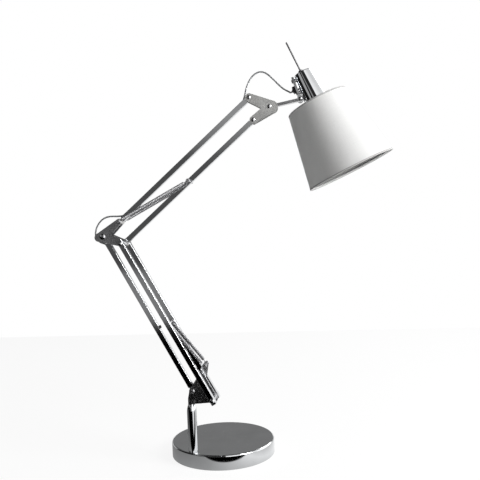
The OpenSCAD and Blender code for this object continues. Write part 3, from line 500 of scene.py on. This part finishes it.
def surface(name, grid, wrap_u=False, wrap_v=False, uv=None, caps=False):
    """A mesh object from points on a grid of two parameters, shape (rows, columns, 3), in metres.

    Each face joins a point with its neighbours in both directions; wrap joins the last row or
    column to the first, and caps closes the first and the last row with one face each."""
    rows, cols = grid.shape[:2]
    index = np.arange(rows * cols).reshape(rows, cols)
    above = index if wrap_u else index[:-1]
    below = np.roll(index, -1, 0) if wrap_u else index[1:]
    quads = np.stack([above, np.roll(above, -1, 1), np.roll(below, -1, 1), below], -1)
    if not wrap_v:
        quads = quads[:, :-1]
    faces = quads.reshape(-1, 4).tolist()
    if caps:
        faces += [index[0, ::-1].tolist(), index[-1].tolist()]
    mesh = bpy.data.meshes.new(name)
    mesh.from_pydata(grid.reshape(-1, 3).tolist(), [], faces)
    if uv is not None:
        corners = np.zeros(len(mesh.loops), int)
        mesh.loops.foreach_get("vertex_index", corners)
        flat = uv.reshape(-1, 2)[corners]
        if wrap_v:  # the far corners of the last column's faces run on past its own value
            seam = np.zeros(quads.shape, bool)
            seam[:, -1, 1:3] = True
            flat[:seam.size][seam.ravel(), 0] += 2 * uv[0, -1, 0] - uv[0, -2, 0]
        layer = mesh.uv_layers.new(name="UVMap")
        layer.data.foreach_set("uv", flat.astype(np.float32).ravel())
    mesh.polygons.foreach_set("use_smooth", np.ones(len(mesh.polygons), bool))
    mesh.update()
    made = bpy.data.objects.new(name, mesh)
    bpy.context.scene.collection.objects.link(made)
    return made


def join(name, parts):
    """One object from several, with their meshes merged in order."""
    with bpy.context.temp_override(
            active_object=parts[0], selected_editable_objects=parts, object=parts[0]):
        bpy.ops.object.join()
    parts[0].name = parts[0].data.name = name
    return parts[0]


def run_of(path):
    """The length of a path up to each of its points."""
    return np.concatenate([[0], np.cumsum(np.linalg.norm(np.diff(path, axis=0), axis=1))])


def unit_tangents(path):
    """The direction of a path at each of its points."""
    tangent = np.gradient(path, axis=0)
    return tangent / np.linalg.norm(tangent, axis=1)[:, None]


def tube(name, path, radius, sides=12, uv=True):
    """A round tube along a path: at each point a circle of the radius lies across the path.

    The circle's two directions are carried along the path: the old first direction less its part
    along the new tangent, made unit length, and the tangent crossed with it."""
    tangent = unit_tangents(path)
    first = np.zeros_like(path)
    seed = ACROSS if abs(tangent[0, 1]) < 0.9 else np.array([1.0, 0.0, 0.0])
    for i, t in enumerate(tangent):  # one step per ring, as each frame starts from the one before
        seed = seed - (seed @ t) * t
        seed /= np.linalg.norm(seed)
        first[i] = seed
    second = np.cross(tangent, first)
    turn = np.linspace(0, 2 * math.pi, sides, endpoint=False)
    ring = (np.cos(turn)[None, :, None] * first[:, None]
            + np.sin(turn)[None, :, None] * second[:, None])
    grid = path[:, None] + radius * ring
    coords = np.stack(np.broadcast_arrays(turn * radius, run_of(path)[:, None]), -1)
    return surface(
        name, grid[:, ::-1], wrap_v=True, uv=coords[:, ::-1] if uv else None, caps=True)


def lathe(name, profile, origin, up, steps, closed=True):
    """A surface of revolution: each profile point (radius, height) turns round up through origin.

    closed joins the profile's last point to its first."""
    side = np.cross(ACROSS, up)
    side /= np.linalg.norm(side)
    other = np.cross(up, side)
    turn = np.linspace(0, 2 * math.pi, steps, endpoint=False)
    spoke = np.cos(turn)[None, :, None] * side + np.sin(turn)[None, :, None] * other
    grid = origin + profile[:, 0, None, None] * spoke + profile[:, 1, None, None] * up
    coords = np.stack(
        np.broadcast_arrays(turn * profile[:, 0].max(), run_of(profile)[:, None]), -1)
    return surface(name, grid, wrap_u=closed, wrap_v=True, uv=coords)


def smooth_path(points, per):
    """Points on a Catmull-Rom curve through the given ones, per to each part between two.

    Each part is the cubic whose slope at a point is half the chord between its neighbours."""
    p = np.asarray(points)
    p = np.vstack([2 * p[0] - p[1], p, 2 * p[-1] - p[-2]])
    t = np.linspace(0, 1, per, endpoint=False)[None, :, None]
    a, b, c, d = (p[i:len(p) - 3 + i, None] for i in range(4))
    curve = 0.5 * (2 * b + (c - a) * t + (2 * a - 5 * b + 4 * c - d) * t**2
                   + (3 * b - a - 3 * c + d) * t**3)
    return np.vstack([curve.reshape(-1, p.shape[1]), p[-2]])


def dress(piece, finish, bodies, blend=None, stands_for=()):
    """Gives a piece its material in a new slot and sets it on a body; a piece with a blend only has
    its placement baked into its mesh, on no body.
    """
    piece.data.materials.append(FINISH[finish])
    if blend:
        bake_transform(piece)
    else:
        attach(piece, bodies)
    if stands_for:
        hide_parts(*stands_for)


# ------------------------------------------------------- operators


class LAMP_OT_stage(bpy.types.Operator):
    """Camera, floor, world and lamps of the studio"""

    bl_idname = "lamp.stage"
    bl_label = "Studio"

    def execute(self, context):
        scene = context.scene
        scene.view_settings.view_transform = "Standard"
        self.camera(scene)
        self.world(scene)
        self.floor()
        for name, place, target, size, power in LAMPS:
            data = bpy.data.lights.new(name, "AREA")
            data.shape, data.size, data.energy = "SQUARE", size, power
            lamp = bpy.data.objects.new(name, data)
            lamp.location = place
            aim = Vector(target) - Vector(place)
            lamp.rotation_euler = aim.to_track_quat("-Z", "Y").to_euler()
            scene.collection.objects.link(lamp)
        return {"FINISHED"}

    def camera(self, scene):
        """The camera solved from the photograph."""
        azimuth, pitch, roll = (math.radians(v) for v in CAMERA_TURN)
        ahead = np.array([
            -math.sin(azimuth) * math.cos(pitch), math.cos(azimuth) * math.cos(pitch),
            -math.sin(pitch)])
        right = np.array([math.cos(azimuth), math.sin(azimuth), 0.0])
        up = np.cross(right, ahead)
        across = math.cos(roll) * right + math.sin(roll) * up
        over = math.cos(roll) * up - math.sin(roll) * right
        data = bpy.data.cameras.new("camera")
        data.sensor_width, data.lens = 36.0, scene.lamp_sizes.camera_lens
        data.clip_start, data.clip_end = 0.05, 60.0
        made = bpy.data.objects.new("camera", data)
        turn = Matrix(np.column_stack([across, over, -ahead]).tolist()).to_4x4()
        made.matrix_world = Matrix.Translation(CAMERA_PLACE) @ turn
        scene.collection.objects.link(made)
        scene.camera = made

    def world(self, scene):
        """White to the camera. Everything else sees a studio: a bright wall on the right and low
        behind, a dark one on the left, and grey bands in front by height. x, y and z are the
        direction's parts, and each wall starts at a cosine of the angle from its middle."""
        world = bpy.data.worlds.new("studio")
        world.use_nodes = True
        scene.world = world
        n = Nodes(world.node_tree)
        x, y, z = n.split(n.node("ShaderNodeTexCoord", output="Generated"))
        level = (x * x + y * y + 1e-6) ** 0.5
        right = n.remap((x * 0.970 - y * 0.242) / level, 0.42, 0.46, smooth=True)
        behind = n.remap(y / level, 0.34, 0.50, smooth=True)
        left = n.remap(x / level, -0.42, -0.50, smooth=True)
        front, side, back, bright = (
            n.ramp(z, *wall) for wall in (FRONT_WALL, LEFT_WALL, BACK_WALL, RIGHT_WALL))
        walls = n.blend(behind, n.blend(left, front, side), back)
        walls = n.blend(right, walls, bright * RIGHT_WALL_GAIN)
        walls = n.blend(n.ray("Is Diffuse Ray"), walls, walls * SOFT_LIGHT)
        seen = n.blend(n.ray("Is Camera Ray"), walls, 1.0)
        n.fill(n.tree.nodes["Background"].inputs["Color"], seen)

    def floor(self):
        """A pale table top. The camera sees it white with a part of the lamp's shadow;
        reflections see a glow of painted light and shade instead, grey on the left and bright on
        the right, up to its edge in front of the base, and further only on the right, where x
        passes a line that runs forward."""
        half = TABLE_HALF
        grid = np.array([
            [(-half, half, 0), (-half, -half, 0)], [(half, half, 0), (half, -half, 0)]])
        floor = surface("table_top", grid)
        s = Shader("table_white", (0.9, 0.9, 0.9), 0.6)
        place = s.place()
        s.set("Base Color", s.mix(
            s.noise(place, 14.0, 4.0), (0.86, 0.86, 0.86), (0.90, 0.90, 0.90)))
        x, y, _ = s.split(place)
        # painted light and shade: reflections see the table as a glow by x, grey on the left and
        # bright on the right, and a painted bright patch in front on the right
        tone = s.ramp(x, *TABLE_PAINTED_LIGHT)
        near = s.remap(y - x * 0.2, TABLE_EDGE - 0.002, TABLE_EDGE + 0.002)
        side = s.remap(x + y * 0.25, -0.01, 0.03) * s.remap(y, -0.19, -0.20)
        lit = Wire(s, s.surface.outputs[0])
        direct = s.choose(
            s.ray("Is Camera Ray") * (1 - TABLE_SHOWN), lit, s.glow(1.0, TABLE_WHITE))
        seen = s.choose(s.ray("Is Glossy Ray"), direct, s.glow(tone * near + side))
        s.fill(s.tree.nodes["Material Output"].inputs[0], seen)
        floor.data.materials.append(s.material)


class LAMP_OT_finishes(bpy.types.Operator):
    """Makes the finishes and puts them on the frame's own pieces"""

    bl_idname = "lamp.finishes"
    bl_label = "Finishes"

    def execute(self, context):
        make_finishes(context.scene.lamp_colours)
        finish = {row["node"]: row["material_slot"] for row in frame["record"]["subparts"]}
        finish |= {"handle_rod": "dark_rod", "handle_collar": "dark_rod", "neck_link": "dark_plate"}
        for name, piece in frame["nodes"].items():
            piece.data.materials.clear()
            piece.data.materials.append(FINISH[finish[name]])
        return {"FINISHED"}


class LAMP_OT_springs(bpy.types.Operator):
    """Two pairs of closely wound balance springs with hooks"""

    bl_idname = "lamp.springs"
    bl_label = "Balance springs"

    def execute(self, context):
        sizes = context.scene.lamp_sizes
        for name, first, last, aside, bodies, node in (
            ("springs_lower", LOWER_HOOK, EAR, LOWER_SPRING_Y,
             ("lower_front_bars", "shoulder"), "lower_springs"),
            ("springs_upper", ELBOW_TOP, UPPER_HOOK, UPPER_SPRING_Y,
             ("elbow", "upper_bottom_bar"), "upper_springs"),
        ):
            pair = [self.spring(sizes, at(first, y), at(last, y)) for y in (-aside, aside)]
            dress(join(name, pair), "spring_steel", bodies,
                  (at(first), at(last)), (node,))
        return {"FINISHED"}

    def spring(self, sizes, first, last):
        """One wire: a hook, a coil and a hook. The coil is axis * s + radius * (cos, sin) of the
        turn, drawn through three points a turn, and its radius narrows to the hooks' necks."""
        wire = sizes.spring_wire / 2
        radius = sizes.spring_diameter / 2 - wire
        hook_r = SPRING_PIN_R * MM + SPRING_PIN_PLAY * MM + wire
        length = np.linalg.norm(last - first)
        axis = (last - first) / length
        up = np.cross(axis, ACROSS)
        pitch = sizes.spring_wire * SPRING_WIND
        turns = int((length - 2 * (hook_r + SPRING_NECK * MM)) / pitch)
        start = (length - turns * pitch) / 2
        step = np.linspace(0, turns, turns * 18 + 1)[4::6]
        taper = np.clip(np.minimum(step, turns - step) / 1.5, 0, 1)
        wide = radius * (0.30 + 0.70 * taper * taper * (3 - 2 * taper))
        turn = 2 * math.pi * step
        coil = first + (start + step * pitch)[:, None] * axis + wide[:, None] * (
            np.cos(turn)[:, None] * up + np.sin(turn)[:, None] * ACROSS)

        def hook(end, inward):
            """Two thirds of a circle round the pin, from its far side to the coil's side."""
            swing = np.radians(np.linspace(200, -40, 22))
            return end + hook_r * (
                np.cos(swing)[:, None] * inward + np.sin(swing)[:, None] * up)

        path = smooth_path(np.vstack([hook(first, axis), coil, hook(last, -axis)[::-1]]), 2)
        return tube("spring", path, wire, 8, uv=False)


class LAMP_OT_bar_ends(bpy.types.Operator):
    """Folded ends that close the bars up to their joints, open on the lead's side"""

    bl_idname = "lamp.bar_ends"
    bl_label = "Bar ends"

    def execute(self, context):
        """Each end is one fold: a closed loop of (y, off) points round three walls, drawn out
        along the bar, with the fourth side, off times open_side, left open."""
        out, inn = FOLD_OUTER, FOLD_INNER
        loop = [(-out, out), (-out, -out), (out, -out), (out, out),
                (inn, out), (inn, -inn), (-inn, -inn), (-inn, out)]
        for name, p, q, near, far, open_side, body in BAR_ENDS:
            grid = np.array([
                [at(along(p, q, run, off * open_side), y) for y, off in loop]
                for run in (near, far - FOLD_GAP)])
            made = surface(name, grid[:, ::open_side], wrap_v=True, caps=True)
            made.data.polygons.foreach_set("use_smooth", np.zeros(len(made.data.polygons), bool))
            dress(made, "chrome", body)
        return {"FINISHED"}


class LAMP_OT_lead(bpy.types.Operator):
    """The clear lead with two stranded wires in it, a piece for each part of its way"""

    bl_idname = "lamp.lead"
    bl_label = "Clear lead"

    def execute(self, context):
        radius = context.scene.lamp_sizes.lead_diameter / 2
        for name, route, bodies, blend in lead_routes():
            path = smooth_path(route, 6)
            dress(tube(f"lead_{name}_sleeve", path, radius), "lead", bodies, blend, (name,))
            for part, phase in (("wire_a", 0.0), ("wire_b", math.pi)):
                # a wire stops short of its sleeve's end, where the next part may turn against it
                line = self.beside(path[:-1], radius * STRAND_OFF, phase)
                wire = tube(f"lead_{name}_{part}", line, radius * STRAND_R, 8)
                dress(wire, "strands", bodies, blend)
        return {"FINISHED"}

    def beside(self, path, off, phase):
        """A wire that winds round the path: off * (cos, sin) of its length over the lay."""
        turn = 2 * math.pi * run_of(path) / (STRAND_LAY * MM) + phase
        tangent = unit_tangents(path)
        aside = ACROSS - tangent * tangent[:, 1:2]
        aside /= np.linalg.norm(aside, axis=1)[:, None]
        return path + off * (
            np.cos(turn)[:, None] * aside + np.sin(turn)[:, None] * np.cross(tangent, aside))


def lead_routes():
    """The lead's routes as the source gives them: name, points in metres, the body or bodies, and
    where a blend between two bodies starts and ends."""
    s, e, h = SHOULDER_REAR, ELBOW_REAR, HEAD_TOP
    off, clear_of_rod = LEAD_OFF, 4.2
    stem_foot = POST_TOP - 52
    lower, lower_back = (SHOULDER_REAR, ELBOW_REAR), (ELBOW_REAR, SHOULDER_REAR)
    upper, upper_back = (ELBOW_TOP, HEAD_TOP), (HEAD_TOP, ELBOW_TOP)
    lean = math.radians(5.6) - SHADE_TILT

    def strap(x, z):
        """A point of the head's strap, which leans with the head."""
        return NECK_END + np.array([
            x * math.cos(lean) + z * math.sin(lean), -x * math.sin(lean) + z * math.cos(lean)])

    # in the base the lead runs straight from the rim to the post, and bends up there
    turn = math.atan2(POST_FRONT, POST_LEFT)
    outward = np.array([math.cos(turn), math.sin(turn), 0.0])
    post = np.array([-POST_LEFT, ARM_Y, 0.0])
    bend = [(4.5 * (1 - math.sin(a)), 7.5 + 4.5 * (1 - math.cos(a)))
            for a in np.radians(np.arange(0, 91, 15))]
    base = [(math.hypot(POST_LEFT, POST_FRONT) + 91.9, 7.5), (60, 7.5), (7.5, 7.5),
            *bend, (0, 15), (0, stem_foot)]
    line = np.array([post + d * outward + (0, 0, z) for d, z in base]) * MM
    routes = [("base_lead", line, "base", None)]

    def add(name, points, bodies, start, end, aside=(0.0, 0.0, 0.0)):
        """One route. aside is how far its start, a place near it and its end lie behind the arm
        plane, which leaves room for the handle rod when the head tilts back."""
        line = np.array([at(p) for p in points])
        line[:, 1] += np.interp(np.linspace(0, 1, len(points)), (0, 0.4, 1), aside) * MM
        routes.append((name, line, bodies, (at(start), at(end))))

    add("shoulder_lead", [
        (-POST_LEFT, stem_foot), (-POST_LEFT, 70), s + (-4, -15), s + (-3.6, -11.8),
        s + (0.2, -9.6), s + (4.6, -7.4), s + (7.4, -3.2), s + (8, 1.8), s + (6.2, 6.2),
        s + (2.4, 8.8), s + (-1.7, 10.2), s + (-4.6, 11.9),
        along(*lower, 16, -off), along(*lower, 20, -off)],
        ("shoulder", "lower_rear_bar"), s + (8, -8), s + (-5, 13))
    add("elbow_lead_low", [
        along(*lower, 20, -off), along(*lower, 60, -0.5), along(*lower_back, 60, -off),
        along(*lower_back, 32, -off), along(*lower_back, 26, -off), e + (7, -17.5),
        e + (1, -12.5), e + (-6.3, -9.5), e + (-11.8, -5), e + (-14.4, 1), e + (-14.5, 7)],
        ("lower_rear_bar", "elbow"), e + (9, -20), e + (-14, 4))
    add("elbow_lead_high", [
        e + (-14.5, 7), e + (-13.2, 13), e + (-10.4, 19), e + (-6, 25), e + (-0.5, 29.7),
        e + (5.5, 32.4), e + (11.5, 33.4), e + (17.5, 33.5), e + (23.2, 33.3),
        e + (28.8, 33.4), e + (33.9, 33.9), e + (39.4, 35.2),
        along(*upper, 18, off), along(*upper, 24, off)],
        ("elbow", "upper_top_bar"), e + (20, 30), e + (41, 36))
    add("head_lead_start", [
        along(*upper, 24, off), along(*upper, 60, off), along(*upper_back, 60, -off),
        along(*upper_back, 26, -off), along(*upper_back, 19, -off), h + (-12.4, -8.6),
        h + (-10, -4), h + (-7.6, 3), h + (-6, 9), h + (-4.7, 14.5)],
        ("upper_top_bar", "head_bracket"), h + (-12, -8), h + (-5, 12))
    add("head_lead_mid", [
        h + (-4.7, 14.5), h + (-2.5, 21), h + (0, 27), h + (3, 32.3), h + (7, 37),
        h + (12, 40.6), h + (17, 42.4), h + (22, 42.6), h + (27, 41)],
        ("head_bracket", "neck"), h + (-4, 17), h + (26, 42), (0.0, clear_of_rod, clear_of_rod))
    add("head_lead_end", [
        h + (27, 41), h + (33, 36.7), h + (38, 31.6), h + (42.5, 27), h + (47, 21.8),
        h + (52, 16.6), h + (56, 12.8), h + (60, 9.8), h + (64, 7.6),
        strap(-10.75, 17), strap(-7.25, 17), strap(6.95, 17)],
        ("neck", "head"), h + (28, 40), h + (64, 8), (clear_of_rod, 3.2, 0.0))
    return routes


def shade_axis():
    """The middle of the shade's top rim, and the direction up along its axis."""
    return at(HEAD_ORIGIN), np.array([-math.sin(SHADE_TILT), 0.0, math.cos(SHADE_TILT)])


class LAMP_OT_shade(bpy.types.Operator):
    """The cloth shade with its turned edges"""

    bl_idname = "lamp.shade"
    bl_label = "Shade"

    def execute(self, context):
        sizes = context.scene.lamp_sizes
        top, bottom, height = sizes.shade_top / 2, sizes.shade_bottom / 2, sizes.shade_height
        origin, up = shade_axis()
        share = np.linspace(0, 1, 60)
        slant = np.column_stack([top + (bottom - top) * share, -height * share])
        # painted shade: the liner, a second layer just inside the cloth, is darker cloth standing
        # for the shadow inside the shade
        for name, finish, near, far, replaced in (
            ("shade_cloth", "shade", 0.0, CLOTH_T, ("shade_cover",)),
            ("shade_shadow_liner", "liner", LINER_NEAR, LINER_FAR, ()),
        ):
            layer = np.vstack([slant - [near * MM, 0], slant[::-1] - [far * MM, 0]])
            made = lathe(name, layer, origin, up, SHADE_STEPS)
            dress(made, finish, "head", None, replaced)
        # painted shade: the turned edges take the darkened cloth, standing for shadow on the rims
        for name, radius, level, side in (
            ("shade_edge_top", top, 0.0, 1),
            ("shade_edge_bottom", bottom, -height, -1),
        ):
            fold = np.array(RIM_FOLD) * MM
            fold[:, 1] *= side
            fold[:, 0] -= (bottom - top) / height * fold[:, 1]
            edge = lathe(name, fold[::side] + [radius, level], origin, up, SHADE_STEPS)
            dress(edge, "shade_trim", "head")
        return {"FINISHED"}


class LAMP_OT_bulb(bpy.types.Operator):
    """The bulb's support and coiled filament"""

    bl_idname = "lamp.bulb"
    bl_label = "Bulb filament"

    def execute(self, context):
        origin, up = shade_axis()
        seat = origin - BULB_SEAT * MM * up
        centre = origin - BULB_CENTRE * MM * up
        stem = lathe("bulb_stem", np.array(BULB_STEM) * MM, seat, up, 32, False)
        dress(stem, "glass", "head")

        share = np.linspace(-1, 1, 500)
        coil = centre + np.outer(share * COIL_HALF * MM, ACROSS) + COIL_R * MM * (
            np.cos(share * 60)[:, None] * up + np.sin(share * 60)[:, None] * np.cross(up, ACROSS))
        parts = [tube("coil", coil, COIL_WIRE_R * MM, 6, False)]
        for sign in (-1, 1):
            leg = [seat - down * MM * up + sign * out * MM * ACROSS
                   for down, out in ((6, 1.2), (18, 1.8), (25, 5.0))]
            leg.append(centre + sign * 7.2 * MM * ACROSS)
            parts.append(tube("leg", smooth_path(leg, 8), LEG_R * MM, 6, False))
        dress(join("bulb_filament", parts), "steel", "head")
        return {"FINISHED"}


class LAMP_PT_panel(bpy.types.Panel):
    """Lists the lamp's pieces and its sizes and colours"""

    bl_label = "Desk lamp"
    bl_idname = "LAMP_PT_panel"
    bl_space_type = "VIEW_3D"
    bl_region_type = "UI"
    bl_category = "Lamp"

    def draw(self, context):
        for operator in OPERATORS:
            self.layout.operator(operator.bl_idname)
        for group in (context.scene.lamp_sizes, context.scene.lamp_colours):
            for name in group.__annotations__:
                self.layout.prop(group, name)


OPERATORS = (LAMP_OT_stage, LAMP_OT_finishes, LAMP_OT_springs, LAMP_OT_bar_ends, LAMP_OT_lead,
             LAMP_OT_shade, LAMP_OT_bulb)
CLASSES = (LampSizes, LampColours, *OPERATORS, LAMP_PT_panel)


def register():
    for cls in CLASSES:
        bpy.utils.register_class(cls)
    bpy.types.Scene.lamp_sizes = bpy.props.PointerProperty(type=LampSizes)
    bpy.types.Scene.lamp_colours = bpy.props.PointerProperty(type=LampColours)


def unregister():
    del bpy.types.Scene.lamp_colours
    del bpy.types.Scene.lamp_sizes
    for cls in reversed(CLASSES):
        bpy.utils.unregister_class(cls)


def main():
    register()
    for operator in OPERATORS:
        group, name = operator.bl_idname.split(".")
        getattr(getattr(bpy.ops, group), name)()


if __name__ == "__main__":
    main()
